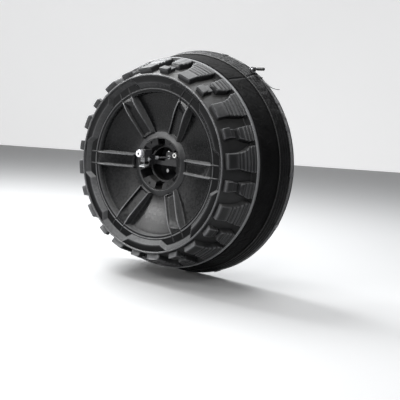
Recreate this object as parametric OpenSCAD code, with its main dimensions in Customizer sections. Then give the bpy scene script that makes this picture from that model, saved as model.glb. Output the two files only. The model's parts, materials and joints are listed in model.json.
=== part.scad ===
// Hard spare tire cover, moulded to look like an off-road wheel and tyre.
// The wheel axis is Y and the cover faces -Y. The origin is the centre of the
// wheel stud circle on the back face of the mounting plate.
// Every sub-part is drawn face up first (X right, Y up, Z = height in front of
// the mounting plane) and stand() then turns it upright.

/* [Front shell] */
// Radius of the front lip, where face and tread meet
lip_r = 322; // [316:1:328]
// Height of the front lip in front of the mounting plane
lip_h = 200; // [196:1:206]
// Wall thickness of the moulded shells
wall = 3.5; // [3:0.5:4]
// Outer radius of the rear flange of the tread shell
flange_r = 394; // [390:1:396]
// Distance from the lip to the front of the tread flange
tread_len = 116; // [112:1:118]

/* [Face] */
// Radius of the side wall step at the windows
step_r_in = 285; // [282:1:287]
// Radius of the side wall step at the spokes
step_r_out = 309; // [307:1:310]
// Depth of the side wall step behind the lip
step_d = 18; // [16:1:20]
// Radius of the window walls
window_r = 262; // [256:1:264]
// Depth of the window panels behind the lip at their outer edge
window_d = 44; // [40:1:46]
// Radius of the hub bezel
hub_r = 119; // [117:1:121]
// Depth of the face at the hub
hub_d = 75; // [73:1:77]
// Half width of a spoke
spoke_w = 25; // [22:1:28]

/* [Tread] */
// Height of the tread lugs above the shell
lug_h = 22; // [18:1:24]
// Number of long lugs, with as many short ones between them
lug_n = 12; // [12]
// Angle of the first long lug
lug_a = 7; // [5:1:9]

/* [Mounting] */
// Pitch circle diameter of the wheel studs
stud_pcd = 139.7; // [139.7]
// Radius of the stud holes
stud_r = 7.25; // [7.25]
// Thickness of the mounting plate
plate_t = 4; // [4:1:6]
// Radius of the circle of stand-off posts
post_c = 86; // [86]

/* [Rear band] */
// Radius of the rear rim of the band
band_r = 433; // [430:1:434]
// Depth of the rear edge behind the lip
band_d = 296; // [292:1:298]
// Angle of the split with the buckle, with the hinge opposite
split_a = 54; // [52:1:56]
// Half of the gap at the split, in degrees
split_g = 0.12; // [0.1:0.02:0.2]

/* [Camera] */
// Height of the camera arm above the wheel axis
arm_z = 24; // [22:1:26]
// Radius of the thin arm rod
arm_r = 3; // [2.5:0.5:4]

/* [Hidden] */
$fn = 96;

function hd(d) = lip_h - d;                 // height of a depth behind the lip
function pol(r, a) = [r * cos(a), r * sin(a)];
// Outline of the stepped side wall: wide at the spokes, narrow at the windows
function step_pts(ro, ri) = [for (k = [0:5], p = [[-11, ro], [-5.5, ro], [0, ro],
    [5.5, ro], [11, ro], [15.5, ri], [20, ri], [25, ri], [30, ri], [35, ri], [40, ri], [44.5, ri]])
    pol(p[1], 60 * k + p[0])];

module stand() { rotate([90, 0, 0]) children(); }
module at(a, r = 0) { rotate([0, 0, a]) translate([r, 0, 0]) children(); }
module ring(ro, ri, h0, h1) {
    difference() {
        translate([0, 0, h0]) cylinder(r = ro, h = h1 - h0);
        translate([0, 0, h0 - 1]) cylinder(r = ri, h = h1 - h0 + 2);
    }
}
// Screw with its head towards -Z
module screw_back(r, len, hr, hh) {
    cylinder(r = r, h = len);
    translate([0, 0, -hh]) cylinder(r = hr, h = hh);
}

// ---- front shell -------------------------------------------------------
lip_in = lip_r - 4;                          // inner radius of the lip band
panel_r = [hub_r, 145, 170, 195, 220, 242, window_r];
function panel_d(r) = hub_d + (window_d - hub_d) * pow((r - hub_r) / (window_r - hub_r), 1.6);

module window_panel(t, ext = 0) {
    // hollow dish between the hub and the window walls
    rotate_extrude() polygon(concat([[hub_r - 15, hd(hub_d)]], [for (r = panel_r) [r, hd(panel_d(r))]],
        [[window_r + ext, hd(window_d)], [window_r + ext, hd(window_d) - t]],
        [for (k = [6:-1:0]) [panel_r[k], hd(panel_d(panel_r[k])) - t]], [[hub_r - 15, hd(hub_d) - t]]));
}
// Side view of a spoke, from the hub out to the flat of the step
module spoke_body(w, dz, r0, r1) {
    rotate([90, 0, 0]) translate([0, 0, -w]) linear_extrude(2 * w)
        polygon([[r0, hd(59) - dz], [hub_r, hd(58) - dz], [153, hd(45.5) - dz], [187, hd(32) - dz], [218, hd(21) - dz],
            [236, hd(17) - dz], [250, hd(16.5) - dz], [r1, hd(16.6) - dz], [r1, hd(window_d) - 14], [r0, hd(hub_d) - 10]]);
}
module spoke_channel() {
    // recess between the two rails, with a slanted outer end
    rotate([90, 0, 0]) translate([0, 0, -(spoke_w - 7)]) linear_extrude(2 * (spoke_w - 7))
        polygon([[hub_r - 20, hd(70)], [hub_r + 9, hd(67.2)], [153, hd(58)], [187, hd(44.5)], [218, hd(33.5)],
            [232, hd(30.5)], [241, hd(10)], [hub_r + 9, hd(38)], [hub_r - 20, hd(38)]]);
}
module face_shell() {
    color([0.11, 0.11, 0.12]) stand() difference() {
        union() {
            // front annulus between the side wall step and the lip
            translate([0, 0, hd(2) - wall]) linear_extrude(wall) difference() {
                circle(r = lip_in - 0.3);
                polygon(step_pts(step_r_out, step_r_in));
            }
            // outer skirt
            ring(lip_in - 0.3, lip_in - 0.3 - wall, hd(16), hd(2));
            // stepped side wall
            translate([0, 0, hd(step_d) - wall]) linear_extrude(step_d - 2 + wall) difference() {
                polygon(step_pts(step_r_out + wall, step_r_in + wall));
                polygon(step_pts(step_r_out, step_r_in));
            }
            // shelf around the windows, and the pads at the spoke ends
            translate([0, 0, hd(step_d) - wall]) linear_extrude(wall) difference() {
                polygon(step_pts(step_r_out + wall, step_r_in + wall));
                circle(r = window_r);
            }
            // small bead on the shelf
            ring(274, 271, hd(step_d) - 1, hd(step_d) + 1.5);
            // window walls
            ring(window_r + wall, window_r, hd(window_d) - wall, hd(step_d) - 0.5);
            window_panel(wall, wall);
            for (k = [0:5]) at(60 * k) spoke_body(spoke_w, 0, hub_r - 4, window_r + wall);
            // screw bosses behind the annulus
            for (k = [0:5], s = [-8, 8]) at(60 * k + 30 + s, 302)
                translate([0, 0, hd(16)]) cylinder(r = 5, h = 14 - wall + 1);
        }
        for (k = [0:5]) at(60 * k) {
            spoke_channel();
            // hollow back of the spoke
            rotate([90, 0, 0]) translate([0, 0, -(spoke_w - wall)]) linear_extrude(2 * (spoke_w - wall))
                polygon([[hub_r + 6, hd(72.5)], [hub_r + 12, hd(71)], [153, hd(62)], [187, hd(48.5)], [218, hd(37.5)],
                    [232, hd(35)], [258, hd(34)], [258, hd(window_d) - 30], [hub_r + 6, hd(hub_d) - 30]]);
        }
        // seat for the hub bezel and bore for the hub cup
        translate([0, 0, hd(hub_d)]) cylinder(r = hub_r + 0.2, h = 60);
        translate([0, 0, hd(hub_d) - 30]) cylinder(r = hub_r - 15, h = 60);
        for (k = [0:5], s = [-8, 8]) at(60 * k + 30 + s, 302)
            translate([0, 0, hd(16) - 1]) cylinder(r = 2, h = 9);
    }
}

// ---- tread shell -------------------------------------------------------
tread_k = 42.5 / 111;                        // radial rise of the shell per depth
function tread_r(d) = lip_r + 3.5 + (d - 3) * tread_k;
module tread_skin() {
    rotate_extrude($fn = 180) polygon([
        [lip_in, hd(1)], [lip_r + 2.5, hd(1)], [tread_r(3), hd(3)],
        [tread_r(tread_len - 3), hd(tread_len - 3)], [tread_r(tread_len - 3) + 3, hd(tread_len)],
        [flange_r, hd(tread_len)], [flange_r, hd(tread_len + 14)],
        [flange_r - 30, hd(tread_len + 14)], [flange_r - 30, hd(tread_len + 4)],
        [tread_r(6) - wall, hd(9)], [tread_r(6) - wall, hd(16)], [lip_in, hd(16)]]);
}
// Ring that all the lugs are cut from: sloping front face, top parallel to the skin
module lug_ring(cut = 0) {
    rotate_extrude($fn = 180) polygon([[tread_r(11), hd(12.5)],
        [tread_r(2) + lug_h - cut, hd(1)],
        [tread_r(tread_len - 1) + lug_h - cut, hd(tread_len - 1)],
        [tread_r(tread_len - 1) + lug_h - cut, hd(tread_len + 1)],
        [tread_r(tread_len) - 1.5, hd(tread_len + 1)], [tread_r(12) - 1.5, hd(14)]]);
}
// Prism along the radius with outline [sideways offset, depth]
module lug_prism(pts) {
    translate([lip_r - 20, 0, 0]) rotate([0, 90, 0]) linear_extrude(110)
        polygon([for (p = pts) [-hd(p[1]), p[0]]]);
}
module sipe(d, w) { rotate_extrude($fn = 180) polygon([
    [tread_r(d) + lug_h - 4.5, hd(d - w / 2)], [tread_r(d) + lug_h + 9, hd(d - w / 2)],
    [tread_r(d) + lug_h + 9, hd(d + w / 2)], [tread_r(d) + lug_h - 4.5, hd(d + w / 2)]]); }
module long_lugs() {
    difference() {
        intersection() {
            lug_ring();
            union() for (k = [0:lug_n - 1]) at(lug_a + 30 * k) lug_prism([[-25, -8], [28, -8],
                [28, 30], [31, 60], [37, 78], [52, 100], [54, tread_len + 1], [-39, tread_len + 1],
                [-37, 98], [-30, 66], [-25, 48]]);
        }
        for (d = [51, 65, 79, 93]) sipe(d, 5);
    }
}
module short_lugs() {
    difference() {
        intersection() {
            lug_ring();
            union() for (k = [0:lug_n - 1]) at(lug_a + 15 + 30 * k) {
                lug_prism([[-12, -8], [24, -8], [26, 29], [-9, 29]]);
                lug_prism([[-17, 62], [20, 62], [25, 100], [25, tread_len + 1], [-30, tread_len + 1], [-30, 96]]);
            }
        }
        for (d = [79, 93]) sipe(d, 5);
    }
    intersection() {
        lug_ring(9);
        union() for (k = [0:lug_n - 1]) at(lug_a + 15 + 30 * k)
            lug_prism([[-8, 27], [22, 27], [20, 52], [-10, 52]]);
    }
}
// Space inside the lugs, which are open towards the tyre
module lug_cores() {
    intersection() {
        rotate_extrude($fn = 180) polygon([[tread_r(20) - 9, hd(20)],
            [tread_r(17) + lug_h - 9, hd(17)], [tread_r(tread_len - 7) + lug_h - 9, hd(tread_len - 7)],
            [tread_r(tread_len - 7) - 9, hd(tread_len - 7)]]);
        union() for (k = [0:lug_n - 1]) {
            at(lug_a + 30 * k) lug_prism([[-20, 16], [23, 16], [24, 50], [32, 78], [46, 100],
                [48, tread_len - 6], [-33, tread_len - 6], [-32, 98], [-25, 66], [-20, 48]]);
            at(lug_a + 15 + 30 * k) lug_prism([[-12, 66], [16, 66], [20, 100], [20, tread_len - 6],
                [-25, tread_len - 6], [-25, 96]]);
        }
    }
}
module tread_shell() {
    color([0.13, 0.13, 0.14]) stand() difference() {
        union() {
            tread_skin();
            long_lugs();
            short_lugs();
        }
        lug_cores();
        // blind holes for the flange screws
        flange_at() translate([0, 0, hd(tread_len + 15)]) cylinder(r = 2.5, h = 12);
    }
}
// Six plates behind the lip that tie the face shell to the tread shell
module face_brackets() {
    color([0.5, 0.5, 0.52]) stand() for (k = [0:5]) difference() {
        rotate([0, 0, 60 * k + 18.5]) rotate_extrude(angle = 23)
            translate([lip_in - 24, hd(20)]) square([28.8, 4]);
        for (s = [-8, 8]) at(60 * k + 30 + s, 302) translate([0, 0, hd(24)]) cylinder(r = 2.3, h = 10);
    }
}
module lip_bead() {
    color([0.3, 0.3, 0.31]) stand() rotate_extrude($fn = 180)
        polygon([[lip_in, hd(1)], [lip_r + 2.5, hd(1)], [lip_r + 2.5, hd(0)],
            [lip_r + 1, hd(-1.6)], [lip_r - 1, hd(-2)], [lip_r - 3, hd(-1.4)], [lip_in, hd(0)]]);
}
module face_screws() {
    color([0.4, 0.4, 0.42]) stand() for (k = [0:5], s = [-8, 8]) at(60 * k + 30 + s, 302)
        translate([0, 0, hd(20)]) screw_back(1.9, 11, 4.5, 2.4);
}

// ---- hub ---------------------------------------------------------------
bez_i = 98.5;
module hub_bezel() {
    color([0.2, 0.2, 0.21]) stand() rotate_extrude($fn = 180) polygon([
        [bez_i, hd(66)], [bez_i + 2.5, hd(66)], [hub_r - 1, hd(hub_d - 1.5)], [hub_r - 1, hd(hub_d)],
        [hub_r - 5, hd(hub_d)], [bez_i + 3, hd(70.5)], [bez_i + 3, hd(hub_d) - wall], [bez_i, hd(hub_d) - wall]]);
}
cup_i = 63.5;
module cup_skin() {
    // rim, six flat pads and the wall down to the inner ring
    rotate_extrude() polygon([[bez_i - 0.3, hd(67)], [bez_i - 3.5, hd(67)], [93, hd(69)],
        [73.5, hd(75.5)], [71.5, hd(77)], [cup_i + 2, hd(103)], [cup_i - 1, hd(104)], [cup_i - 1, hd(108)], [cup_i + 4, hd(108)],
        [75.5, hd(80.5)], [92, hd(75)], [bez_i - 3.8, hd(74.5)], [bez_i - 3.8, hd(hub_d) - wall - 4], [bez_i + 10, hd(hub_d) - wall - 4],
        [bez_i + 10, hd(hub_d) - wall], [bez_i - 0.3, hd(hub_d) - wall]]);
}
module cup_inside() {
    rotate_extrude() polygon([[0, hd(60)], [bez_i - 3.5, hd(60)], [bez_i - 3.5, hd(67)],
        [93, hd(69)], [73.5, hd(75.5)], [71.5, hd(77)], [cup_i + 2, hd(103)], [cup_i - 1, hd(104)], [cup_i - 1, hd(112)], [0, hd(112)]]);
}
module hub_cup() {
    color([0.14, 0.14, 0.15]) stand() difference() {
        union() {
            cup_skin();
            for (k = [0:5]) at(60 * k, post_c) translate([0, 0, hd(88)]) cylinder(r = 8.2, h = 14);
        }
        cup_inside();
        // six notches between the pads, in front of the wheel nuts
        intersection() {
            ring(94.6, 55, hd(103.4), hd(50));
            for (k = [0:5]) at(60 * k + 30) translate([50, -17, hd(105)]) cube([50, 34, 60]);
        }
        for (k = [0:5]) at(60 * k, post_c) {
            translate([0, 0, hd(90)]) cylinder(r = 3.2, h = 40);
            translate([0, 0, hd(77)]) cylinder(r = 5.4, h = 40);
        }
    }
}
module cup_screws() {
    color([0.16, 0.16, 0.17]) stand() for (k = [0:5]) at(60 * k, post_c) {
        translate([0, 0, hd(100)]) cylinder(r = 2.95, h = 23);
        difference() {
            translate([0, 0, hd(77)]) cylinder(r = 5, h = 3.2);
            translate([0, 0, hd(75.4)]) cylinder(r = 2.3, h = 4, $fn = 6);
        }
    }
}
module mount_plate() {
    color([0.25, 0.26, 0.27]) stand() difference() {
        union() {
            cylinder(r = 100, h = plate_t);
            // stiffening bead and turned-up edge of the centre hole
            ring(54, 48, plate_t - 1, plate_t + 2);
            ring(26, 22, plate_t - 1, plate_t + 3);
        }
        translate([0, 0, -1]) cylinder(r = 22, h = plate_t + 2);
        for (k = [0:5]) at(60 * k + 30, stud_pcd / 2) translate([0, 0, -1]) cylinder(r = stud_r, h = plate_t + 2);
        for (k = [0:5]) at(60 * k, post_c) translate([0, 0, -1]) cylinder(r = 3.2, h = plate_t + 2);
        for (k = [0:5]) at(60 * k, post_c) translate([0, 0, -0.01]) cylinder(r1 = 6.2, r2 = 3.2, h = 3);
    }
}
// Dark tube that closes the gap between the hub cup and the plate
module hub_sleeve() {
    color([0.06, 0.06, 0.065]) stand() difference() {
        union() {
            ring(99, 96.5, plate_t, hd(hub_d) - wall - 4);
            ring(104, 96.5, hd(hub_d) - wall - 6.5, hd(hub_d) - wall - 4);
        }
        // drain slot at the bottom
        translate([-6, -110, plate_t - 1]) cube([12, 20, 9]);
    }
}
module standoff_posts() {
    color([0.55, 0.56, 0.58]) stand() for (k = [0:5]) at(60 * k, post_c) difference() {
        translate([0, 0, plate_t]) cylinder(r = 8, h = hd(88) - plate_t);
        translate([0, 0, plate_t - 1]) cylinder(r = 3, h = 16);
        translate([0, 0, hd(102)]) cylinder(r = 3, h = 40);
    }
}
module plate_screws() {
    color([0.5, 0.5, 0.52]) stand() for (k = [0:5]) at(60 * k, post_c) difference() {
        union() {
            translate([0, 0, 0.4]) cylinder(r1 = 5.6, r2 = 2.9, h = 2.7);
            translate([0, 0, 3]) cylinder(r = 2.9, h = 13);
        }
        translate([0, 0, 0]) cylinder(r = 1.8, h = 2.2, $fn = 6);
    }
}

// ---- camera arm --------------------------------------------------------
bar_h0 = hd(129);                            // back face of the crossbar
bar_h1 = hd(125);
gland_x = 27;
gland_y = 33;
module arm_crossbar() {
    color([0.1, 0.1, 0.11]) stand() difference() {
        union() {
            translate([0, 0, bar_h0]) linear_extrude(bar_h1 - bar_h0)
                polygon([[-92, -8], [92, -8], [92, 8], [44, 8], [38, 14], [38, 40], [34, 44],
                    [-12, 44], [-16, 40], [-16, 14], [-22, 8], [-92, 8]]);
            for (s = [-1, 1]) {
                translate([s * post_c, 0, bar_h0 - 6]) cylinder(r = 9.8, h = bar_h1 - bar_h0 + 6);
                translate([s * post_c - 8 - s * 8, -5, bar_h0 - 6]) cube([16, 10, 7]);
            }
        }
        for (s = [-1, 1]) translate([s * post_c, 0, bar_h0 - 8]) cylinder(r = 8.05, h = 20);
        for (s = [-1, 1]) translate([s * (post_c - 7), 0, bar_h0 - 2.8]) rotate([0, -s * 90, 0]) cylinder(r = 1.6, h = 12);
        translate([0, arm_z, bar_h0 - 1]) cylinder(r = 3, h = 8);
        translate([gland_x, gland_y, bar_h0 - 1]) cylinder(r = 5.05, h = 8);
    }
}
module crossbar_set_screws() {
    color([0.3, 0.3, 0.32]) stand() for (s = [-1, 1]) translate([s * (post_c - 8.1), 0, bar_h0 - 2.8])
        rotate([0, -s * 90, 0]) difference() {
            cylinder(r = 1.5, h = 9);
            translate([0, 0, 7]) cylinder(r = 0.8, h = 3, $fn = 6);
        }
}
module cable_gland() {
    // white ring that the camera lead comes out of
    color([0.92, 0.92, 0.9]) stand() translate([gland_x, gland_y, 0]) difference() {
        union() {
            translate([0, 0, bar_h1]) cylinder(r = 9.5, h = 4);
            translate([0, 0, bar_h1 + 4]) cylinder(r1 = 9.5, r2 = 8, h = 2.5);
            translate([0, 0, bar_h0 - 8]) cylinder(r = 5, h = 14);
        }
        translate([0, 0, bar_h0 - 10]) cylinder(r = 3, h = 30);
        translate([0, 0, bar_h1 + 2]) cylinder(r = 4.9, h = 6);
    }
}
module gland_seal() {
    // black rubber disc in the mouth of the gland
    color([0.03, 0.03, 0.03]) stand() translate([gland_x, gland_y, bar_h1 + 2]) difference() {
        cylinder(r = 4.85, h = 3);
        translate([0, 0, -1]) cylinder(r = 1.5, h = 5);
    }
}
module gland_nut() {
    color([0.85, 0.85, 0.83]) stand() translate([gland_x, gland_y, bar_h0 - 5]) difference() {
        cylinder(r = 8.5, h = 5, $fn = 6);
        translate([0, 0, -1]) cylinder(r = 5.05, h = 8);
    }
}
module arm_rod() {
    color([0.62, 0.63, 0.65]) stand() translate([0, arm_z, 0]) {
        translate([0, 0, bar_h1]) cylinder(r = arm_r, h = hd(40) - bar_h1);
        translate([0, 0, bar_h1]) cylinder(r = 7.5, h = 2.5);
        translate([0, 0, bar_h0 - 7]) cylinder(r = 2.95, h = 12);
    }
}
module arm_nut() {
    color([0.6, 0.6, 0.62]) stand() translate([0, arm_z, bar_h0 - 5]) difference() {
        cylinder(r = 6, h = 5, $fn = 6);
        translate([0, 0, -1]) cylinder(r = 3, h = 8);
    }
}
module arm_sleeve() {
    color([0.8, 0.8, 0.82]) stand() translate([0, arm_z, 0]) difference() {
        union() {
            translate([0, 0, hd(54)]) cylinder(r = 6, h = 29);
            translate([0, 0, hd(56)]) cylinder(r1 = 4.8, r2 = 6, h = 2);
            translate([0, 0, hd(25)]) cylinder(r = 3.9, h = 8);
        }
        translate([0, 0, hd(57)]) cylinder(r = arm_r + 0.05, h = 17.05);
    }
}
piv_h = hd(-7);                              // pivot of the camera
piv_y = 20;
module tilt_bracket() {
    color([0.7, 0.71, 0.73]) stand() difference() {
        union() {
            // back plate on the arm, two ears and a tongue under the camera
            translate([-13, 0, hd(25)]) cube([26, 36, 3.5]);
            for (s = [-1, 1]) translate([s * 11.6 - 1.4, 0, hd(25)]) cube([2.8, 36, hd(-7) - hd(25)]);
            for (s = [-1, 1]) translate([s * 11.6 - 1.4, piv_y, piv_h]) rotate([0, 90, 0]) cylinder(r = 9, h = 2.8);
            translate([-13, 0, hd(25)]) cube([26, 3, 24]);
            rotate([0, 90, 0]) translate([0, 0, -13]) linear_extrude(26)
                polygon([[-hd(1), 0], [-hd(1), 3], [-hd(-33), -5], [-hd(-33), -8]]);
        }
        translate([0, arm_z, hd(26)]) cylinder(r = 4, h = 8);
        translate([-20, piv_y, piv_h]) rotate([0, 90, 0]) cylinder(r = 2.55, h = 40);
    }
}
module bracket_nut() {
    color([0.75, 0.75, 0.77]) stand() translate([0, arm_z, hd(21.5)]) difference() {
        cylinder(r = 7, h = 4, $fn = 6);
        translate([0, 0, -1]) cylinder(r = 3.95, h = 8);
    }
}
cam_h0 = hd(8);
cam_h1 = hd(-30);
module camera_body() {
    color([0.07, 0.07, 0.08]) stand() difference() {
        union() {
            translate([-9.6, 9.5, cam_h0]) cube([19.2, 45, cam_h1 - cam_h0]);
            translate([0, 40, cam_h1]) cylinder(r = 11, h = 3);
        }
        translate([-12, piv_y, piv_h]) rotate([0, 90, 0]) cylinder(r = 2.55, h = 24);
        translate([0, 40, cam_h1 - 8]) cylinder(r = 8.02, h = 20);
        for (p = [[-6, 14], [0, 13], [6, 14], [-6, 22], [6, 22]])
            translate([p[0], p[1], cam_h1 - 1.5]) cylinder(r = 1.5, h = 4);
    }
}
module camera_back_cover() {
    color([0.12, 0.12, 0.13]) stand() {
        translate([-8.6, 10.5, cam_h0 - 2]) cube([17.2, 43, 2]);
        for (s = [-1, 1]) translate([s * 6, 50.5, cam_h0 - 3]) cylinder(r = 1.8, h = 1);
    }
}
module lens_barrel() {
    color([0.86, 0.86, 0.87]) stand() translate([0, 40, 0]) difference() {
        union() {
            translate([0, 0, cam_h1 - 8]) cylinder(r = 8, h = 14);
            translate([0, 0, cam_h1 + 6]) cylinder(r1 = 11.5, r2 = 13.5, h = 4);
            translate([0, 0, cam_h1 + 10]) cylinder(r = 13.5, h = 12);
            translate([0, 0, cam_h1 + 22]) cylinder(r1 = 13.5, r2 = 11, h = 4);
        }
        translate([0, 0, cam_h1 + 22]) cylinder(r = 4.8, h = 8);
    }
}
module lens_glass() {
    color([0.05, 0.06, 0.08]) stand() translate([0, 40, cam_h1 + 22]) difference() {
        intersection() {
            cylinder(r = 4.75, h = 5);
            translate([0, 0, -9]) sphere(r = 13);
        }
        translate([0, 0, -20]) cube([40, 40, 40], center = true);
    }
}
module camera_leds() {
    color([0.9, 0.92, 0.95]) stand() for (p = [[-6, 14], [0, 13], [6, 14], [-6, 22], [6, 22]])
        translate([p[0], p[1], cam_h1 - 1.5]) cylinder(r = 1.45, h = 2.3);
}
module tilt_pin() {
    color([0.7, 0.7, 0.72]) stand() translate([0, piv_y, piv_h]) rotate([0, 90, 0]) {
        translate([0, 0, -17]) cylinder(r = 2.5, h = 36);
        translate([0, 0, 13.2]) cylinder(r = 4.6, h = 3, $fn = 6);
    }
}
module tilt_pin_nut() {
    color([0.6, 0.6, 0.62]) stand() translate([-13.2, piv_y, piv_h]) rotate([0, -90, 0]) difference() {
        cylinder(r = 5, h = 3.6, $fn = 6);
        translate([0, 0, -1]) cylinder(r = 2.52, h = 8);
    }
}

// ---- rear band ---------------------------------------------------------
hin_a = split_a + 180;
hin_r = band_r + 9;                          // radius of the hinge pin
h_flat = hd(272);
h_end = hd(band_d);
module band_profile() {
    polygon([[flange_r - 0.8, hd(133)], [flange_r + 3, hd(133)], [415, hd(229)], [band_r, h_flat], [band_r, h_end], [band_r - wall, h_end],
        [band_r - wall, h_flat - 1], [414, hd(232)], [411.2, hd(229)], [flange_r - 0.8, hd(136.5)]]);
}
module band_half(a0) {
    rotate([0, 0, a0 + split_g]) rotate_extrude(angle = 180 - 2 * split_g, $fn = 180) band_profile();
    // circumferential ribs on the flared part
    for (d = [243, 253, 263]) rotate([0, 0, a0 + split_g]) rotate_extrude(angle = 180 - 2 * split_g, $fn = 180)
        translate([band_r - (272 - d) * 14 / 36 - 1.2, hd(d)]) square([3.4, 3], center = true);
}
module flange_at() { for (k = [0:6]) at(split_a + 12 + 26 * k, flange_r - 10) children(); }
module band_half_left() {
    color([0.05, 0.05, 0.055]) stand() difference() {
        band_half(split_a);
        rivet_at(-1) translate([band_r - 12, 0, 0]) rotate([0, 90, 0]) cylinder(r = 2, h = 30);
        buckle_rivets() cylinder(r = 2, h = 30);
    }
}
module band_half_right() {
    color([0.05, 0.05, 0.055]) stand() difference() {
        band_half(split_a + 180);
        rivet_at(1) translate([band_r - 12, 0, 0]) rotate([0, 90, 0]) cylinder(r = 2, h = 30);
    }
}
// Flat flange bonded inside the front edge of each band half
module band_flange(a0) {
    rotate([0, 0, a0 + split_g]) rotate_extrude(angle = 180 - 2 * split_g, $fn = 180)
        translate([flange_r - 22, hd(136.5)]) square([21.15, 3.5]);
}
module band_flange_left() {
    color([0.06, 0.06, 0.065]) stand() difference() {
        band_flange(split_a);
        flange_at() translate([0, 0, hd(150)]) cylinder(r = 2.7, h = 30);
    }
}
module band_flange_right() { color([0.06, 0.06, 0.065]) stand() band_flange(split_a + 180); }
module flange_gasket() {
    color([0.04, 0.04, 0.04]) stand() difference() {
        ring(flange_r - 1, flange_r - 21, hd(132.7), hd(130));
        flange_at() translate([0, 0, hd(136)]) cylinder(r = 2.7, h = 10);
    }
}
module flange_screws() {
    color([0.35, 0.35, 0.37]) stand() flange_at() translate([0, 0, hd(136.5)]) screw_back(2.4, 16, 4.8, 2.6);
}
// Hinge knuckles run along the wheel axis. side -1 is the fixed leaf.
module rivet_at(s) { at(hin_a) for (z = [hd(276.5), hd(284.5)]) translate([0, s * 24, z]) children(); }
module hinge_leaf(s, zs) {
    difference() {
        union() {
            translate([band_r + 0.15, s > 0 ? 0.6 : -34, h_end + 1]) cube([2.5, 33.4, 23]);
            for (z = zs) {
                at(0, hin_r) translate([0, 0, z[0]]) cylinder(r = 5.5, h = z[1] - z[0]);
                translate([band_r + 0.15, s > 0 ? 0.6 : -6, z[0]]) cube([9, 5.4, z[1] - z[0]]);
            }
        }
        translate([hin_r, 0, h_end - 10]) cylinder(r = 3.03, h = 60);
        // room for the other leaf's knuckles
        for (z = s > 0 ? [[h_end - 2, h_end + 8.3], [h_end + 15.7, h_end + 26]] : [[h_end + 7.7, h_end + 16.3]])
            translate([hin_r, 0, z[0]]) cylinder(r = 6.2, h = z[1] - z[0]);
        for (z = [hd(276.5), hd(284.5)]) translate([band_r - 4, s * 24, z]) rotate([0, 90, 0]) cylinder(r = 2, h = 12);
    }
}
module hinge_leaf_left() {
    color([0.3, 0.3, 0.31]) stand() at(hin_a) hinge_leaf(-1, [[h_end + 1, h_end + 8], [h_end + 16, h_end + 24]]);
}
module hinge_leaf_right() {
    color([0.3, 0.3, 0.31]) stand() at(hin_a) hinge_leaf(1, [[h_end + 8.3, h_end + 15.7]]);
}
module hinge_pin() {
    color([0.6, 0.6, 0.62]) stand() at(hin_a, hin_r) {
        translate([0, 0, h_end]) cylinder(r = 3, h = 25);
        translate([0, 0, h_end + 24.2]) cylinder(r = 5, h = 2);
    }
}
module hinge_rivets(s) {
    rivet_at(s) translate([band_r - wall - 2.6, 0, 0]) rotate([0, 90, 0]) {
        cylinder(r = 1.9, h = wall + 6);
        cylinder(r = 3.6, h = 1.4);
        translate([0, 0, wall + 5.3]) cylinder(r = 3.6, h = 1.5);
    }
}
module hinge_rivets_left() { color([0.5, 0.5, 0.52]) stand() hinge_rivets(-1); }
module hinge_rivets_right() { color([0.5, 0.5, 0.52]) stand() hinge_rivets(1); }
module rear_seal(a0) {
    rotate([0, 0, a0 + split_g]) rotate_extrude(angle = 180 - 2 * split_g, $fn = 180) polygon([
        [band_r - wall - 2.6, h_end - 3.5], [band_r + 1, h_end - 4], [band_r + 2.2, h_end - 2.5], [band_r + 2.2, h_end + 0.6],
        [band_r + 0.15, h_end + 0.6], [band_r + 0.15, h_end - 0.15], [band_r - wall - 0.15, h_end - 0.15],
        [band_r - wall - 0.15, h_end + 7], [band_r - wall - 2.6, h_end + 7]]);
}
// ---- strap and buckle --------------------------------------------------
strap_h0 = h_end + 3.5;
strap_h1 = h_end + 20.5;
module strap(a0, a1) {
    rotate([0, 0, a0]) rotate_extrude(angle = a1 - a0, $fn = 180)
        translate([band_r + 0.15, strap_h0]) square([2, strap_h1 - strap_h0]);
}
module guide() {
    // staple that holds the strap on the band
    difference() {
        translate([band_r + 0.1, -8, h_end + 1.2]) cube([4.6, 16, 21.6]);
        translate([band_r - 2, -12, strap_h0 - 0.3]) cube([4.5, 24, strap_h1 - strap_h0 + 0.6]);
    }
}
module rear_seal_left() { color([0.03, 0.03, 0.03]) stand() rear_seal(split_a); }
module rear_seal_right() { color([0.03, 0.03, 0.03]) stand() rear_seal(split_a + 180); }
module strap_left() { color([0.07, 0.07, 0.075]) stand() strap(split_a + 9, hin_a - 6); }
module strap_right() { color([0.07, 0.07, 0.075]) stand() strap(hin_a + 6, split_a + 359); }
module strap_guides_left() { color([0.09, 0.09, 0.1]) stand() for (a = [75, 120, 165, 205]) at(a) guide(); }
module strap_guides_right() { color([0.09, 0.09, 0.1]) stand() for (a = [250, 290, 333.5, 360, 382, 396]) at(a) guide(); }
buk_a = split_a + 2.9;                       // angle of the buckle
buk_r = band_r + 10;
module buckle_rivets() { at(buk_a) for (y = [-11, 11]) translate([band_r - 8, y, h_end + 12]) rotate([0, 90, 0]) children(); }
module buckle_base() {
    color([0.25, 0.25, 0.27]) stand() at(buk_a) difference() {
        union() {
            translate([band_r + 0.3, -16, h_end + 1.5]) cube([2.4, 32, 21]);
            for (z = [h_end + 1.5, h_end + 20]) {
                translate([band_r + 0.3, -7, z]) cube([buk_r - band_r, 14, 2.5]);
                translate([buk_r, 0, z]) cylinder(r = 7, h = 2.5);
            }
        }
        translate([buk_r, 0, h_end]) cylinder(r = 2.53, h = 40);
        for (y = [-11, 11]) translate([band_r - 2, y, h_end + 12]) rotate([0, 90, 0]) cylinder(r = 2, h = 10);
    }
}
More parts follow.
